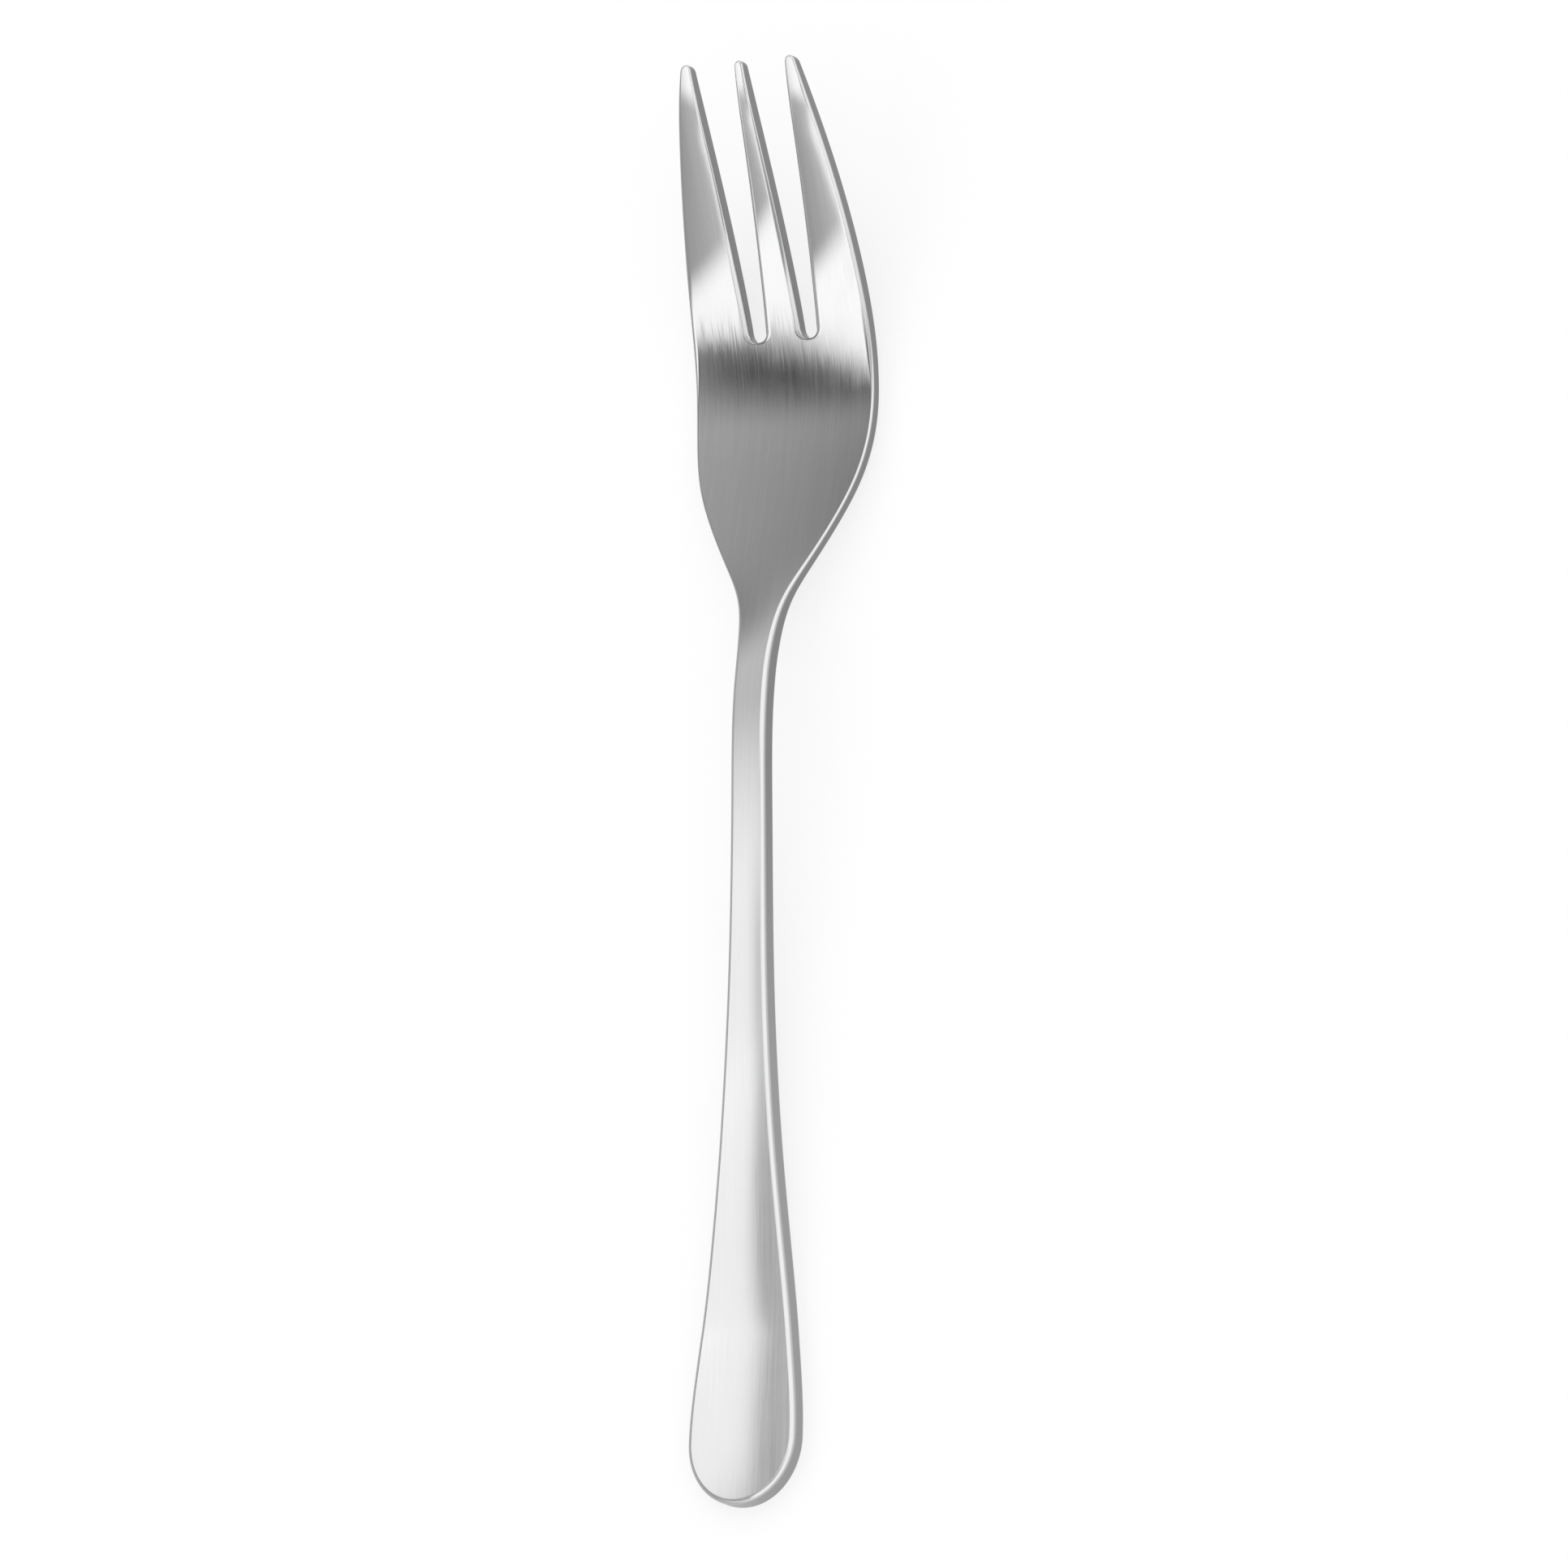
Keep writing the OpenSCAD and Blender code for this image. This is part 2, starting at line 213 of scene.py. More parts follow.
# The grey cloth round them, near and far, from its left to its right, and past its two ends
CLOTH_X = -160
CLOTH_W = 110
CLOTH_FAR = (15, 30)
NEAR_CLOTH_GLOW = (0.573, 0.456)
FAR_CLOTH_GLOW = (0.19, 0.46)
LEFT_END_GLOW = 0.36
RIGHT_END = (-32, 9)
RIGHT_END_GLOW = 1

# The card over the neck: its corners and height, its borders, its light, and the shade on its right
NECK_CARD = (-40, -40, 0, 44, 28)
NECK_CARD_NEAR = (-29, 20)
NECK_CARD_FAR = (32.5, 16.6, 1, 0)
NECK_CARD_LEFT = (-34, 7)
NECK_CARD_RIGHT = (-4, 5, 1, 0)
NECK_CARD_GLOW = (4, 26, 1.12, 0.64)
NECK_SHADE_X = (-10, 6)
NECK_SHADE = (-8, 16, 0.6, 0.93)

# The clear sheet over the head, sloped as the tines are, that carries the bars:
# its corners and height before it is moved, its place and its slope
TINE_SHEET = (-60, -12, 60, 45, 0)
SHEET_PLACE = Vector((0, 53.3, 9.6)) * MM
SHEET_SLOPE = math.atan(0.42)
# Each bar: where it starts on the sheet, how far it is turned, how much it is stretched across
# and along, and how much wider it is at the left
TINE_BARS = [
    ((-9.4, 0), -0.04, 1, 1, 4.5),
    ((-3.05, 4.3), 0, 0.6, 0.76, 0),
    ((3.5, 0.65), 0.04, 1, 0.9, 0.5),
]
# A bar before it is stretched: its half width falls from BAR_HALF by BAR_TAPER per millimetre.
# The half width of its white end grows from END_HALF by END_WIDENING, up to BAR_HALF. The bar is
# shifted a little to the left and near its end to the right, and its start and the border of its
# white end are slanted.
BAR_HALF = 2.9
BAR_TAPER = 0.11
END_HALF = -8.8
END_WIDENING = 0.53
BAR_SHIFT = (15, 5, 0.4, -0.5)
BAR_BORDER_W = 0.2
BAR_START = (-0.6, 5)
BAR_START_SLANT = 2.6
WHITE_END = (18.4, 3)
# The light across a bar, by shares of its half width
GREY_GLOW = (0, 2.4, 0.35, 0.62)
WHITE_GLOW = (0, 2.4, 0.75, 1.3)

# The light dome, by the direction that light comes from: duller at the horizon, most of all
# at the left, and with a grey cloth straight overhead
HORIZON_STEP = (-0.3, 0.6, 0.4, 0.7)
DOME_RISE = (0.25, 0.5)
DOME_LIGHT = 1.15
OVERHEAD_CLOTH_FAR = (0.06, 0.24, 1, 0)
OVERHEAD_CLOTH_NEAR = (-0.35, 0.3)
OVERHEAD_CLOTH_SIDES = (0.24, 0.24, 1, 0)
OVERHEAD_CLOTH_LIGHT = 0.5


class Spline:
    """A cubic spline through points, level at its start and with a given slope at its end."""

    def __init__(self, points, end_slope=0.0):
        self.x, self.y = np.array(points, float).T
        n = len(self.x)
        step = np.diff(self.x)
        rise = np.diff(self.y) / step
        system = np.zeros((n, n))
        turn = np.zeros(n)
        system[0, :2] = 2 * step[0], step[0]
        turn[0] = 6 * rise[0]
        for k in range(1, n - 1):
            system[k, k - 1:k + 2] = step[k - 1], 2 * (step[k - 1] + step[k]), step[k]
            turn[k] = 6 * (rise[k] - rise[k - 1])
        system[-1, -2:] = step[-1], 2 * step[-1]
        turn[-1] = 6 * (end_slope - rise[-1])
        self.bend = np.linalg.solve(system, turn)

    def __call__(self, x):
        k = np.clip(np.searchsorted(self.x, x) - 1, 0, len(self.x) - 2)
        step = self.x[k + 1] - self.x[k]
        a = (self.x[k + 1] - x) / step
        b = 1 - a
        line = a * self.y[k] + b * self.y[k + 1]
        return line + ((a**3 - a) * self.bend[k] + (b**3 - b) * self.bend[k + 1]) * step**2 / 6


def stretch(shares, s0, s1, v0, v1):
    """Points between (s0, v0) and (s1, v1), from their shares of the two runs."""
    return [(s0 + u * (s1 - s0), v0 + v * (v1 - v0)) for u, v in shares]


taper = Spline(stretch(TAPER_SHARES, END_L, TAPER_END_S, NECK_W / 2, HANDLE_W / 2))
shoulder = Spline(stretch(SHOULDER_SHARES, SHOULDER_S, WIDEST_S, NECK_W / 2, HEAD_W / 2))
last_u, last_v = TINE_RISE_SHARES[-1]
back_line = Spline(
    [(REST_L, 0)]
    + stretch(RISE_SHARES, REST_L, ARCH_S, 0, ARCH_H) + [(ARCH_S, ARCH_H)]
    + [(ARCH_S + u * (BELLY_S - ARCH_S), v * ARCH_H) for u, v in FALL_SHARES] + [(BELLY_S, 0)]
    + stretch(TINE_RISE_SHARES, BELLY_S, FORK_L, 0, TIP_H) + [(FORK_L, TIP_H)],
    TIP_H / BELLY_L * (1 - last_v) / (1 - last_u),
)


def blend(share):
    """A soft step from 0 to 1, level at both ends."""
    u = np.clip(share, 0, 1)
    return u**3 * (u * (u * 6 - 15) + 10)


def flank(s):
    """The outer tine's outer side, past the head's widest place."""
    return HEAD_W / 2 - (HEAD_W - TIPS_W) / 2 * ((s - WIDEST_S) / WIDEST_L) ** 2


def half_plan(s):
    """Half the fork's width at a station, without the handle's round end."""
    s = np.asarray(s, float)
    return np.select(
        [s < END_L, s < TAPER_END_S, s < SHOULDER_S, s < WIDEST_S],
        [HANDLE_W / 2, taper(s), NECK_W / 2, shoulder(s)],
        flank(s),
    )


def headness(s):
    """0 on the handle and 1 on the head."""
    return blend((s - ARCH_S) / (BELLY_S - ARCH_S) * HEAD_SOONER)


def back(s):
    return np.where(s < REST_L, 0, back_line(np.maximum(s, REST_L)))


def thickness(s):
    handle = HANDLE_T + (NECK_T - HANDLE_T) * blend((s - REST_L) / (TAPER_END_S - REST_L))
    head = HEAD_T + (TINE_T - HEAD_T) * blend((s - BELLY_S) / SWELL_L)
    slope = SLOPE_H * (np.maximum(0, s - SLOPE_S) / SLOPE_L) ** 2
    return handle + (head - handle) * headness(s) - slope


def edge_radius(s):
    return HANDLE_EDGE_R + (TINE_EDGE_R - HANDLE_EDGE_R) * headness(s)


def edge_reach(s):
    """How far the rounding of an edge reaches in over the face and the back."""
    wider = blend((s - BELLY_S) / EDGE_SWELL_L) * (FORK_L - s) / BELLY_L
    return edge_radius(s) + (TINE_EDGE_W - TINE_EDGE_R) * wider


def back_z(x, s):
    return back(s) + DISH_H * headness(s) * (x / (HEAD_W / 2)) ** 2


def face_z(x, s):
    half = half_plan(s)
    crown = CROWN_H * (1 - headness(s)) * half / (HANDLE_W / 2) * (x / half) ** 2
    return back_z(x, s) + thickness(s) - crown


def surface_normals(height, x, s, side):
    """Outward directions of the face (side 1) or the back (side -1)."""
    step = 1e-3
    slope_x = (height(x + step, s) - height(x - step, s)) / (2 * step)
    slope_s = (height(x, s + step) - height(x, s - step)) / (2 * step)
    normals = side * np.column_stack([-slope_x, -slope_s, np.ones(len(x))])
    return normals / np.linalg.norm(normals, axis=1)[:, None]


def slot_half(q):
    """Half a slot's width at a distance from the tips."""
    return MOUTH - q * math.tan(SLOT_LEAN)


def eased(count):
    """Shares from 0 to 1 that are closer together near 0."""
    return (np.arange(count + 1) / count) ** ROW_EASE


def round_x(share):
    """The half width of a round end, at a share of its length."""
    return np.sqrt(1 - (1 - share) ** 2)


def even(start, end, count):
    """Rows after start, up to and with end."""
    return start + (end - start) * np.arange(1, count + 1) / count


def right_half_outline():
    """Points (x, station) from the handle's end round the right half to the middle tine's tip,
    and the body's row count."""
    end = np.column_stack([HANDLE_W / 2 * round_x(eased(END_ROWS)), END_L * eased(END_ROWS)])
    root_s = FORK_L - TINE_L - ROOT_ROOM * TINE_EDGE_R
    body_s = np.concatenate([
        even(END_L, TAPER_END_S, TAPER_ROWS),
        even(TAPER_END_S, SHOULDER_S, NECK_ROWS),
        even(SHOULDER_S, WIDEST_S, SHOULDER_ROWS),
        even(WIDEST_S, root_s, WIDEST_ROWS),
    ])
    body = np.concatenate([end, np.column_stack([half_plan(body_s), body_s])])
    straight_q = even(WALL_Q, TIP_L, TINE_ROWS)
    tip_q = TIP_L * eased(TIP_ROWS)[::-1][1:]
    q = np.concatenate([straight_q, tip_q])
    narrowing = np.where(q < TIP_L, round_x(np.minimum(q / TIP_L, 1)), 1)
    inner_x = SLOT_X + slot_half(q)
    middle = (inner_x + flank(FORK_L - q)) / 2
    half = narrowing * (flank(FORK_L - q) - inner_x) / 2
    root_flank_s = even(root_s, FORK_L - WALL_Q, ROOT_ROWS)
    outer = np.concatenate([
        np.column_stack([flank(root_flank_s), root_flank_s]),
        np.column_stack([middle + half, FORK_L - q]),
    ])
    cosine = 1 - eased(ROOT_ROWS) * (1 - math.sin(SLOT_LEAN))
    root_x = SLOT_R * np.sqrt(1 - cosine**2)
    root_line = FORK_L - ROOT_Q - SLOT_R * cosine
    inner = np.concatenate([
        np.column_stack([SLOT_X + root_x, root_line]),
        np.column_stack([middle - half, FORK_L - q]),
    ])
    centre = np.concatenate([
        np.column_stack([SLOT_X - root_x, root_line]),
        np.column_stack([narrowing * (SLOT_X - slot_half(q)), FORK_L - q]),
    ])
    right = np.concatenate([body, outer, inner[:-1][::-1], centre[1:]])
    return right, len(body) - 1


class Rim:
    """The fork's outline as one closed ring of points, its edge's rounding there, and the
    numbers of its points by row."""

    def __init__(self):
        right, self.body_rows = right_half_outline()
        self.tine_rows = ROOT_ROWS + TINE_ROWS + TIP_ROWS
        self.points = np.concatenate([right, (right[1:-1] * [-1, 1])[::-1]])
        self.count = len(self.points)
        run = np.roll(self.points, -1, axis=0) - np.roll(self.points, 1, axis=0)
        outward = np.column_stack([run[:, 1], -run[:, 0]])
        self.outward = outward / np.linalg.norm(outward, axis=1)[:, None]
        station = self.points[:, 1]
        wider = edge_reach(station) - edge_radius(station)
        self.radius = edge_radius(station)
        self.reach = self.radius + wider * self.outward[:, 0] ** 2
        self.inset = self.points - self.outward * self.reach[:, None]

    def mirrored(self, k):
        return (self.count - k) % self.count

    def outer(self, row):
        return self.body_rows + row

    def inner(self, row):
        return self.body_rows + 2 * self.tine_rows - row

    def middle(self, row):
        return self.body_rows + 2 * self.tine_rows + row

    def tine_ends(self, row):
        """For each tine, from left to right: the row's two end points and its columns."""
        return [
            (self.mirrored(self.outer(row)), self.mirrored(self.inner(row)), OUTER_COLS),
            (self.mirrored(self.middle(row)), self.middle(row), MIDDLE_COLS),
            (self.inner(row), self.outer(row), OUTER_COLS),
        ]


def edge_rings(rim):
    """Rings of points round the edge, from the face's inset outline to the back's, with their
    normals, their places for the two kinds of marks, and how far they have the wall's rougher
    finish and painted shade."""
    steps = np.linalg.norm(np.diff(rim.points, axis=0, append=rim.points[:1]), axis=1)
    rim_run = np.concatenate([[0], np.cumsum(steps)[:-1]])
    in_root = blend((rim.outward[:, 1] - ROOT_DIRECTION) / ROOT_DIRECTION_RUN)
    in_root *= rim.points[:, 1] < ROOT_END_S
    wall_turn = WALL_TURN + (ROOT_WALL_TURN - WALL_TURN) * in_root

    rings = []
    normals = []
    brushing = []
    edge_run = []
    wallness = []
    turns = np.linspace(0, math.pi / 2, EDGE_STEPS + 1)
    for up, all_turns in ((1, turns), (-1, turns[::-1])):
        surface = face_z if up > 0 else back_z
        side_z = surface(*rim.inset.T)
        side_normals = surface_normals(surface, *rim.inset.T, up)
        for turn in all_turns:
            place = rim.inset + rim.outward * (rim.reach * math.sin(turn))[:, None]
            height = side_z - up * rim.radius * (1 - math.cos(turn))
            rings.append(np.column_stack([place, height]))
            level_out = np.column_stack([rim.outward, np.zeros(rim.count)])
            level_out *= (rim.radius * math.sin(turn))[:, None]
            turned = side_normals * (rim.reach * math.cos(turn))[:, None] + level_out
            normals.append(turned / np.linalg.norm(turned, axis=1)[:, None])
            brushing.append(rim.inset + rim.outward * (rim.reach * turn)[:, None])
            edge_run.append(np.column_stack([height, rim_run]))
            wallness.append(blend((turn - wall_turn) / (math.pi / 2 - wall_turn)))
    return rings, normals, brushing, edge_run, wallness


def field_points(rim):
    """Points (x, station) in rows across the body and the tines, inside the inset outline."""
    inset = rim.inset
    slot_share = inset[rim.inner(0), 0] / inset[rim.body_rows, 0]
    outer_steps = slot_share + (1 - slot_share) * np.arange(1, OUTER_COLS) / OUTER_COLS
    middle_steps = slot_share * (2 * np.arange(MIDDLE_COLS + 1) / MIDDLE_COLS - 1)
    col_shares = np.concatenate([-outer_steps[::-1], middle_steps, outer_steps])
    field = [
        (share * inset[k, 0], inset[k, 1]) for k in range(1, rim.body_rows) for share in col_shares
    ]
    for row in range(rim.tine_rows):
        for a, b, cols in rim.tine_ends(row):
            field += [inset[a] + (inset[b] - inset[a]) * k / cols for k in range(1, cols)]
    return np.array(field)


def side_quads(rim, edge, field, upward):
    """Quads over the face or the back, from the numbers of the first points of its inset
    outline and of its field."""
    all_cols = 2 * OUTER_COLS + MIDDLE_COLS
    quads = []

    def join(low, high):
        for k in range(max(len(low), len(high)) - 1):
            a = low[k] if len(low) > 1 else low[0]
            b = low[k + 1] if len(low) > 1 else low[0]
            c = high[k + 1] if len(high) > 1 else high[0]
            d = high[k] if len(high) > 1 else high[0]
            corners = list(dict.fromkeys((a, b, c, d)))
            quads.append(tuple(corners if upward else corners[::-1]))

    def row_ids(start, first, n, end):
        return [edge + start, *range(first, first + n), edge + end]

    def body_ids(k):
        if k == 0:
            return [edge]
        first = field + (k - 1) * (all_cols - 1)
        return row_ids(rim.mirrored(k), first, all_cols - 1, k)

    def tine_ids(row):
        if row == rim.tine_rows:
            return [[edge + a] for a, b, cols in rim.tine_ends(row)]
        first = field + (rim.body_rows - 1) * (all_cols - 1) + row * (all_cols - 3)
        lists = []
        for a, b, cols in rim.tine_ends(row):
            lists.append(row_ids(a, first, cols - 1, b))
            first += cols - 1
        return lists

    for k in range(rim.body_rows - 1):
        join(body_ids(k), body_ids(k + 1))
    left, centre, right = tine_ids(0)
    join(body_ids(rim.body_rows - 1), left + centre[1:] + right[1:])
    for row in range(rim.tine_rows):
        for low, high in zip(tine_ids(row), tine_ids(row + 1)):
            join(low, high)
    return quads


def fork_mesh():
    """The fork's closed skin: rounded edge rings along the outline, and rows of points between
    the inset edges."""
    rim = Rim()
    rings, normals, brushing, edge_run, wallness = edge_rings(rim)
    field = field_points(rim)
    face = np.column_stack([field, face_z(*field.T)])
    rear = np.column_stack([field, back_z(*field.T)])
    points = np.concatenate(rings + [face, rear])
    points[:, 1] -= FORK_L / 2
    normals.append(surface_normals(face_z, *field.T, 1))
    normals.append(surface_normals(back_z, *field.T, -1))
    brushing = np.concatenate(brushing + [field, field])
    edge_run = np.concatenate(edge_run + [field, field])
    wallness = np.concatenate(wallness + [np.zeros(2 * len(field))])

    quads = []
    for ring in range(len(rings) - 1):
        for k in range(rim.count):
            a = ring * rim.count + k
            b = ring * rim.count + (k + 1) % rim.count
            quads.append((a, a + rim.count, b + rim.count, b))
    face_first = len(rings) * rim.count
    quads += side_quads(rim, 0, face_first, True)
    quads += side_quads(rim, face_first - rim.count, face_first + len(field), False)

    mesh = bpy.data.meshes.new("pastry_fork")
    mesh.from_pydata((points * MM).tolist(), [], quads)
    mesh.shade_smooth()
    mesh.normals_split_custom_set_from_vertices(np.concatenate(normals).tolist())
    for name, pairs in (("brushing", brushing), ("edge_run", edge_run)):
        values = mesh.attributes.new(name, "FLOAT_VECTOR", "POINT")
        vectors = np.column_stack([pairs, np.zeros(len(pairs))])
        values.data.foreach_set("vector", vectors.astype(np.float32).ravel())
    values = mesh.attributes.new("wallness", "FLOAT", "POINT")
    values.data.foreach_set("value", wallness.astype(np.float32))
    layer = mesh.uv_layers.new(name="brushed")
    corners = np.empty(len(mesh.loops), np.int32)
    mesh.loops.foreach_get("vertex_index", corners)
    places = brushing[corners] * MM * UV_SCALE
    layer.data.foreach_set("uv", places.astype(np.float32).ravel())
    return mesh


class Nodes:
    """Short calls for making and linking shader nodes."""

    def __init__(self, tree):
        self.tree = tree
        tree.nodes.clear()

    def add(self, kind, inputs=None, **values):
        made = self.tree.nodes.new(kind)
        for name, value in values.items():
            setattr(made, name, value)
        for name, value in (inputs or {}).items():
            self.put(made.inputs[name], value)
        return made

    def put(self, socket, value):
        if isinstance(value, bpy.types.NodeSocket):
            self.tree.links.new(value, socket)
        else:
            socket.default_value = value

    def math(self, operation, a, b=0.0, clamp=False):
        made = self.add("ShaderNodeMath", operation=operation, use_clamp=clamp)
        self.put(made.inputs[0], a)
        self.put(made.inputs[1], b)
        return made.outputs[0]

    def plus(self, a, b):
        return self.math("ADD", a, b)

    def minus(self, a, b):
        return self.math("SUBTRACT", a, b)

    def times(self, first, *others):
        product = first
        for other in others:
            product = self.math("MULTIPLY", product, other)
        return product

    def step(self, value, middle, width, low=0.0, high=1.0):
        """A smooth step from low to high, width wide round the middle."""
        made = self.add("ShaderNodeMapRange", interpolation_type="SMOOTHSTEP")
        self.put(made.inputs["Value"], value)
        self.put(made.inputs["From Min"], middle - width / 2)
        self.put(made.inputs["From Max"], middle + width / 2)
        self.put(made.inputs["To Min"], low)
        self.put(made.inputs["To Max"], high)
        return made.outputs[0]

    def mix(self, share, a, b):
        """a where share is 0, b where it is 1."""
        made = self.add("ShaderNodeMix", data_type="FLOAT")
        self.put(made.inputs["Factor"], share)
        self.put(made.inputs["A"], a)
        self.put(made.inputs["B"], b)
        return made.outputs["Result"]

    def noise(self, place, scale, detail):
        inputs = {"Vector": place, "Scale": scale, "Detail": detail}
        return self.add("ShaderNodeTexNoise", inputs).outputs["Fac"]

    def streaks(self, place, across, along, detail=2.0):
        """Noise in long fine lines; the scales are per millimetre."""
        scaled = self.vector("MULTIPLY", place, (across, along, 1))
        return self.noise(scaled, 1.0, detail)

    def vector(self, operation, a, b=(0, 0, 0)):
        made = self.add("ShaderNodeVectorMath", {0: a, 1: b}, operation=operation)
        return made.outputs[0]

    def attribute(self, name, output):
        return self.add("ShaderNodeAttribute", attribute_name=name).outputs[output]

    def light(self, strength):
        """White light of the given strength."""
        made = self.add("ShaderNodeEmission", {"Color": WHITE, "Strength": strength})
        return made.outputs[0]

    def either(self, share, a, b):
        """Shader a where share is 0, shader b where it is 1."""
        return self.add("ShaderNodeMixShader", {0: share, 1: a, 2: b}).outputs[0]

    def surface(self, shader):
        self.add("ShaderNodeOutputMaterial", {"Surface": shader})


def new_material(name):
    material = bpy.data.materials.new(name)
    material.use_nodes = True
    return material, Nodes(material.node_tree)


def steel_material():
    """Satin polished stainless steel, with fine marks along the fork and rougher stamped walls
    whose darker colour is painted shade.
    """
    material, n = new_material("satin_steel")
    brushing = n.attribute("brushing", "Vector")
    edge_run = n.attribute("edge_run", "Vector")
    wall = n.attribute("wallness", "Fac")
    station = n.add("ShaderNodeSeparateXYZ", {"Vector": brushing}).outputs["Y"]

    fine = n.times(n.streaks(brushing, *FINE_MARKS), FINE_SHARE)
    broad = n.times(n.streaks(brushing, *BROAD_MARKS), BROAD_SHARE)
    wall_lines = n.streaks(edge_run, *WALL_MARKS)
    lines = n.mix(wall, n.plus(fine, broad), wall_lines)
    marks = n.step(lines, *MARK_BORDER)

    patches = n.noise(brushing, PATCH_SCALE, PATCH_DETAIL)
    face_rough = n.plus(n.mix(marks, *FACE_ROUGHNESS), n.mix(patches, *PATCH_ROUGHNESS))
    rough = n.mix(wall, face_rough, n.mix(wall_lines, *WALL_ROUGHNESS))

    # Painted shade: the walls' colour turns darker than the face's, from the handle's level to the
    # tines' darker one.
    wall_shaded_tone = n.step(station, *WALL_SHADE_STEP)
    tone = n.times(n.mix(marks, *MARK_TONES), n.mix(wall, FACE_TONE, wall_shaded_tone))
    channels = {"Red": tone, "Green": tone, "Blue": n.times(tone, BLUE_TINT)}
    colour = n.add("ShaderNodeCombineColor", channels)

    wave = n.minus(n.streaks(brushing, *WAVE_MARKS), NOISE_MIDDLE)
    wave = n.times(wave, n.mix(wall, n.step(station, *WAVE_STEP), 0.0))
    tilt = n.add("ShaderNodeCombineXYZ", {"Y": wave}).outputs[0]
    normal = n.add("ShaderNodeNewGeometry").outputs["Normal"]
    bump = n.add("ShaderNodeBump", {
        "Height": lines,
        "Strength": 1.0,
        "Distance": BUMP_DEPTH * MM,
        "Normal": n.vector("NORMALIZE", n.vector("ADD", normal, tilt)),
    })
    tangent = n.add("ShaderNodeTangent", direction_type="UV_MAP", uv_map="brushed")
    shader = n.add("ShaderNodeBsdfPrincipled", {
        "Metallic": 1.0,
        "Base Color": colour.outputs[0],
        "Roughness": rough,
        "Anisotropic": ANISOTROPY,
        "Normal": bump.outputs[0],
        "Tangent": tangent.outputs[0],
    })
    n.surface(shader.outputs[0])
    return material


def add_camera():
    data = bpy.data.cameras.new("camera")
    data.sensor_fit = "HORIZONTAL"
    data.sensor_width = SENSOR_W
    data.lens = SENSOR_W * CAMERA_DISTANCE / PICTURE_W
    data.clip_end = CAMERA_REACH
    camera = bpy.data.objects.new("camera", data)
    bpy.context.scene.collection.objects.link(camera)
    towards = Vector((
        math.sin(VIEW_RIGHT) * math.cos(VIEW_BACK),
        -math.sin(VIEW_BACK),
        math.cos(VIEW_RIGHT) * math.cos(VIEW_BACK),
    ))
    up = (Vector((0, 1, 0)) - towards * towards.y).normalized()
    right = up.cross(towards)
    turned_up = up * math.cos(VIEW_LEAN) - right * math.sin(VIEW_LEAN)
    turned_right = turned_up.cross(towards)
    basis = Matrix((turned_right, turned_up, towards)).transposed()
    place = Matrix.Translation(AIM + towards * CAMERA_DISTANCE)
    camera.matrix_world = place @ basis.to_4x4()
    bpy.context.scene.camera = camera


def plane(name, x0, y0, x1, y1, z, material):
    """A level card or floor between two corners, in millimetres."""
    mesh = bpy.data.meshes.new(name)
    corners = [(x0, y0, z), (x1, y0, z), (x1, y1, z), (x0, y1, z)]
    mesh.from_pydata([[v * MM for v in corner] for corner in corners], [], [(0, 1, 2, 3)])
    mesh.materials.append(material)
    made = bpy.data.objects.new(name, mesh)
    bpy.context.scene.collection.objects.link(made)
    return made


def only_reflected(card):
    """A card that polished steel mirrors, and that neither hides anything nor lights the floor."""
    card.visible_camera = False
    card.visible_diffuse = False
    card.visible_shadow = False


def place_mm(n):
    """The x and y of a card's points, in millimetres."""
    spot = n.add("ShaderNodeTexCoord").outputs["Object"]
    parts = n.add("ShaderNodeSeparateXYZ", {"Vector": spot})
    return [n.times(parts.outputs[k], 1 / MM) for k in range(2)]


def floor_material():
    """White cloth that keeps the fork's soft shadow: bright to the camera and in the steel,
    where it is duller at the left."""
    material, n = new_material("table_white")
    cloth = n.add("ShaderNodeBsdfPrincipled", {
        "Base Color": FLOOR_COLOUR,
        "Roughness": FLOOR_ROUGHNESS,
        "Specular IOR Level": FLOOR_SPECULAR,
    })
    path = n.add("ShaderNodeLightPath").outputs
    x = place_mm(n)[0]
    left = n.times(n.step(x, *LEFT_FLOOR), path["Is Glossy Ray"])
    glow = n.light(n.mix(left, 1.0, LEFT_FLOOR_GLOW))
    seen = n.math("MAXIMUM", path["Is Camera Ray"], path["Is Glossy Ray"])
    seen = n.math("MAXIMUM", seen, path["Is Transmission Ray"])
    n.surface(n.either(n.times(seen, FLOOR_GLOW), cloth.outputs[0], glow))
    return material


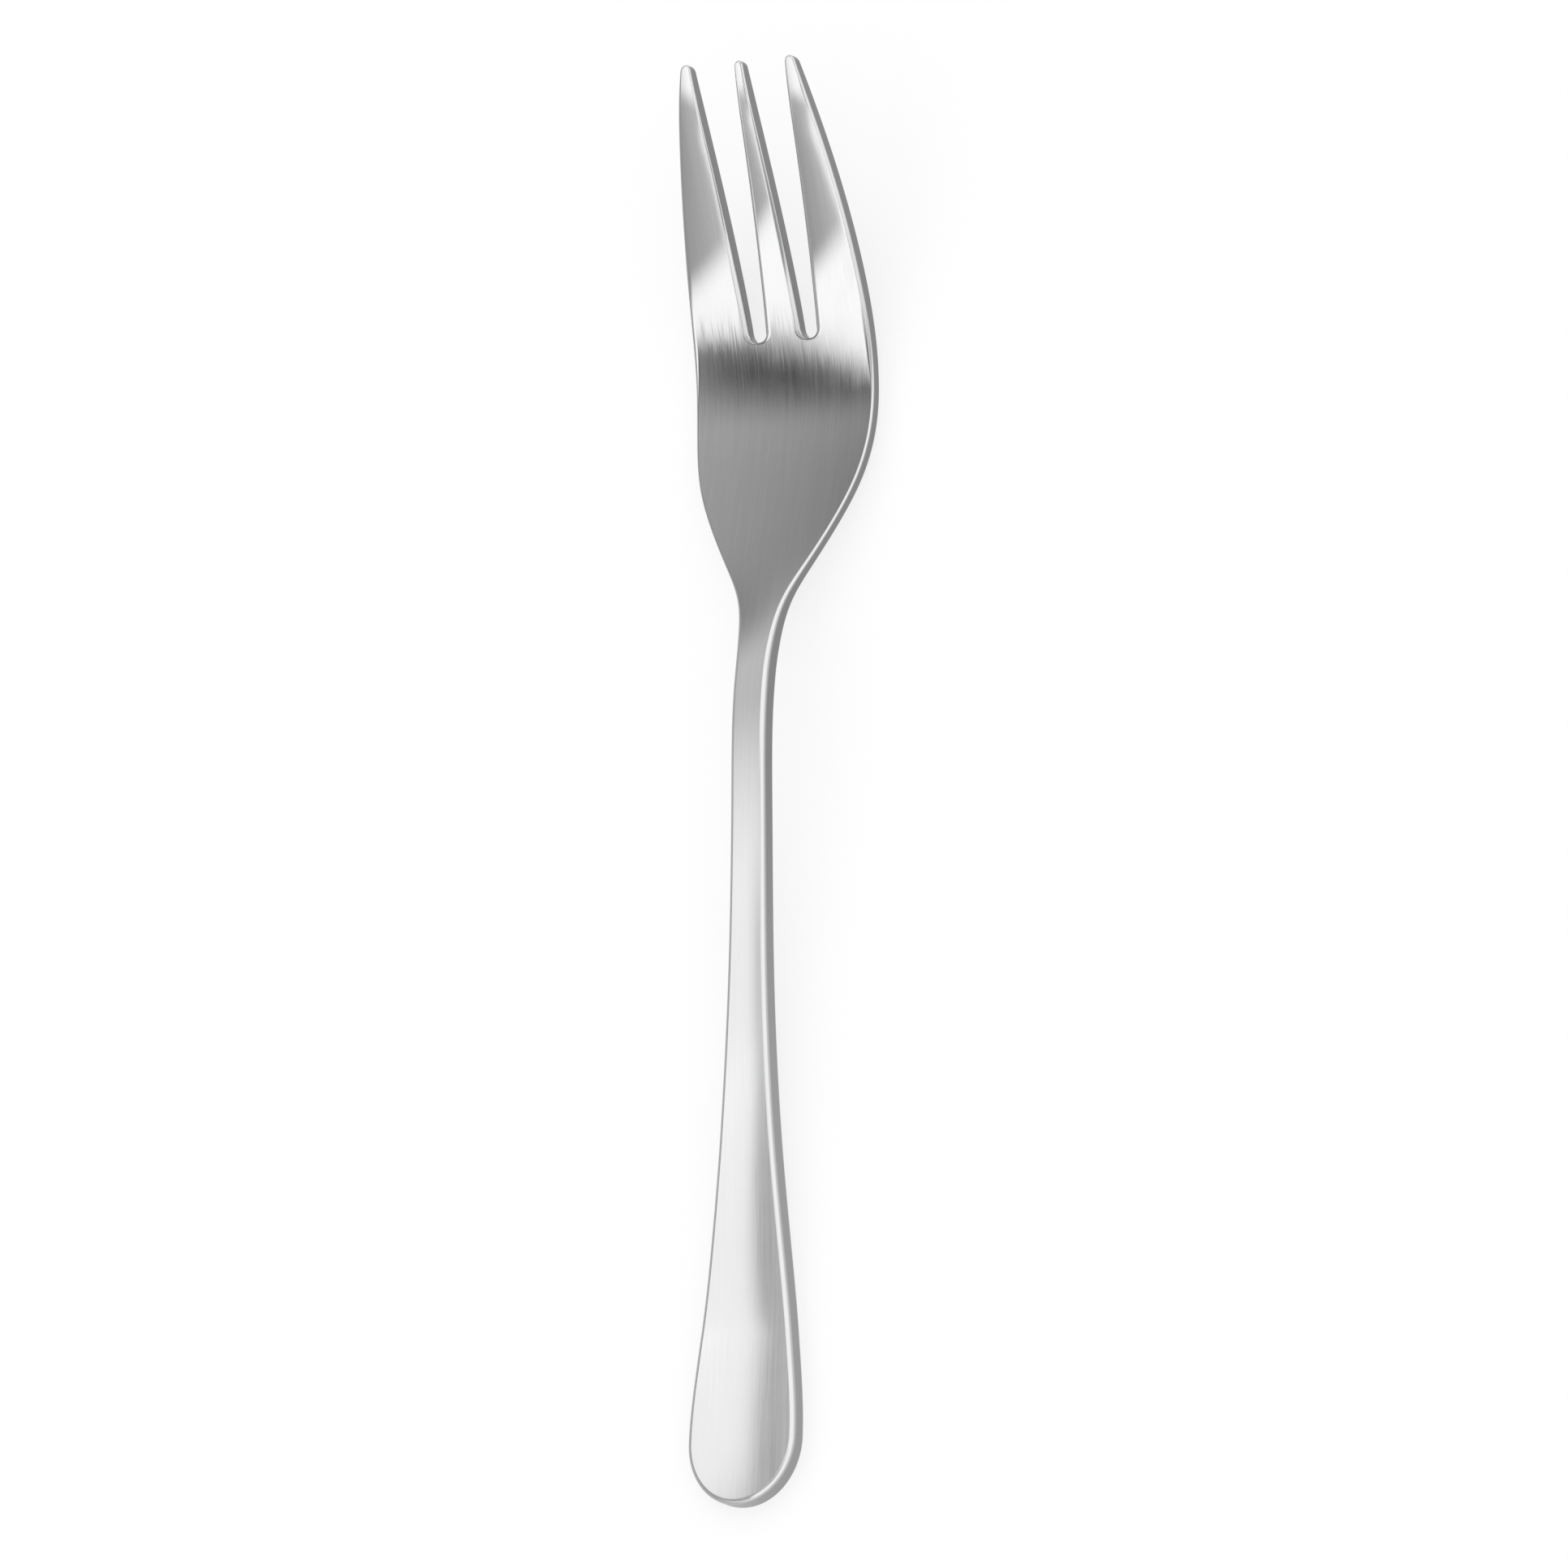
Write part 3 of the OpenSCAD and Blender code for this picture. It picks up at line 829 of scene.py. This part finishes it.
def panel_material():
    """The side panel: a white soft box, a dark gap beside it and grey cloth round them,
    all with soft borders."""
    material, n = new_material("side_panel")
    x, y = place_mm(n)

    far_y = n.minus(n.minus(y, n.step(x, *BOX_FAR_LEFT)), n.step(x, *BOX_FAR_RIGHT))
    right_x = n.minus(x, n.step(y, *BOX_RIGHT_FAR))
    box_left = n.step(x, *BOX_LEFT)
    box = n.times(
        n.step(y, *BOX_NEAR), n.step(far_y, *BOX_FAR), n.step(right_x, *BOX_RIGHT), box_left,
    )

    from_gap = n.minus(x, GAP_X)
    gap = n.times(
        n.step(n.plus(y, n.times(from_gap, GAP_NEAR_SLOPE)), *GAP_NEAR),
        n.step(n.plus(y, n.times(from_gap, GAP_FAR_SLOPE)), *GAP_FAR),
        n.step(x, *GAP_RIGHT),
        n.step(x, *GAP_LEFT),
    )

    across = n.math("DIVIDE", n.minus(x, CLOTH_X), CLOTH_W, clamp=True)
    far = n.step(y, *CLOTH_FAR)
    cloth = n.mix(far, n.mix(across, *NEAR_CLOTH_GLOW), n.mix(across, *FAR_CLOTH_GLOW))
    glow = n.mix(gap, cloth, GAP_GLOW)
    glow = n.mix(box_left, LEFT_END_GLOW, glow)
    glow = n.mix(n.step(x, *RIGHT_END), glow, RIGHT_END_GLOW)
    glow = n.mix(box, glow, n.step(y, *BOX_GLOW))
    n.surface(n.light(glow))
    return material


def card_material(name, make_glow):
    """A soft-edged card that is clear round its light: make_glow gives its light and its cover
    from its own x and y in millimetres."""
    material, n = new_material(name)
    glow, cover = make_glow(n, *place_mm(n))
    clear = n.add("ShaderNodeBsdfTransparent").outputs[0]
    n.surface(n.either(cover, clear, n.light(glow)))
    return material


def neck_glow(n, x, y):
    """Light at the handle's side, duller towards the head and along the right."""
    cover = n.times(
        n.times(n.step(y, *NECK_CARD_NEAR), n.step(y, *NECK_CARD_FAR)),
        n.times(n.step(x, *NECK_CARD_LEFT), n.step(x, *NECK_CARD_RIGHT)),
    )
    shade = n.mix(n.step(x, *NECK_SHADE_X), 1.0, n.step(y, *NECK_SHADE))
    return n.times(n.step(y, *NECK_CARD_GLOW), shade), cover


def bars_glow(n, x, y):
    """Three tapered grey bars with white ends, one for each tine, and nothing between them."""
    glow, cover = 1.0, 0.0
    for (bar_x, bar_y), turn, wide, long, margin in TINE_BARS:
        from_x = n.minus(x, bar_x)
        from_y = n.minus(y, bar_y)
        cosine, sine = math.cos(turn), math.sin(turn)
        turned_x = n.plus(n.times(from_x, cosine), n.times(from_y, sine))
        turned_y = n.minus(n.times(from_y, cosine), n.times(from_x, sine))
        bar_x_mm = n.math("DIVIDE", turned_x, wide)
        along = n.math("DIVIDE", turned_y, long)

        half = n.minus(BAR_HALF, n.times(along, BAR_TAPER))
        across = n.math("DIVIDE", bar_x_mm, half)
        end_half = n.math("MINIMUM", n.plus(n.times(along, END_WIDENING), END_HALF), BAR_HALF)
        outline = n.math("MINIMUM", n.math("MAXIMUM", half, end_half), BAR_HALF)
        shifted = n.plus(bar_x_mm, n.step(along, *BAR_SHIFT))
        slanted = n.minus(along, n.times(across, BAR_START_SLANT))
        inside = n.times(
            n.step(n.minus(outline, shifted), 0, BAR_BORDER_W),
            n.step(n.plus(outline, shifted), -margin, BAR_BORDER_W),
            n.step(slanted, *BAR_START),
        )
        white_end = n.step(n.plus(along, across), *WHITE_END)
        tone = n.mix(white_end, n.step(across, *GREY_GLOW), n.step(across, *WHITE_GLOW))
        glow = n.mix(inside, glow, tone)
        cover = n.math("MAXIMUM", cover, inside)
    return glow, cover


def studio_world():
    """White where the camera sees it; for the rest a light dome, duller towards the horizon
    and straight overhead."""
    world = bpy.data.worlds.new("studio")
    world.use_nodes = True
    n = Nodes(world.node_tree)
    way = n.add("ShaderNodeTexCoord").outputs["Generated"]
    parts = n.add("ShaderNodeSeparateXYZ", {"Vector": way}).outputs
    horizon = n.step(parts["X"], *HORIZON_STEP)
    cloth = n.times(
        n.step(parts["Y"], *OVERHEAD_CLOTH_FAR),
        n.step(parts["Y"], *OVERHEAD_CLOTH_NEAR),
        n.step(n.math("ABSOLUTE", parts["X"]), *OVERHEAD_CLOTH_SIDES),
    )
    high = n.mix(cloth, DOME_LIGHT, OVERHEAD_CLOTH_LIGHT)
    dome = n.mix(n.step(parts["Z"], *DOME_RISE), horizon, high)
    seen = n.add("ShaderNodeLightPath").outputs["Is Camera Ray"]
    inputs = {"Color": WHITE, "Strength": n.mix(seen, dome, 1.0)}
    n.add("ShaderNodeOutputWorld", {
        "Surface": n.add("ShaderNodeBackground", inputs).outputs[0],
    })
    return world


fork = bpy.data.objects.new("pastry_fork", fork_mesh())
bpy.context.scene.collection.objects.link(fork)
fork.data.materials.append(steel_material())
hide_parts("fork")
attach(fork, "root")

add_camera()

plane("table_floor", -FLOOR_HALF, -FLOOR_HALF, FLOOR_HALF, FLOOR_HALF, 0, floor_material())
only_reflected(plane("side_panel", *SIDE_PANEL, panel_material()))
only_reflected(plane("neck_card", *NECK_CARD, card_material("neck_card", neck_glow)))
sheet = plane("tine_sheet", *TINE_SHEET, card_material("tine_sheet", bars_glow))
sheet.matrix_world = Matrix.Translation(SHEET_PLACE) @ Matrix.Rotation(SHEET_SLOPE, 4, "X")
only_reflected(sheet)

bpy.context.scene.world = studio_world()
bpy.context.scene.view_settings.view_transform = "Standard"
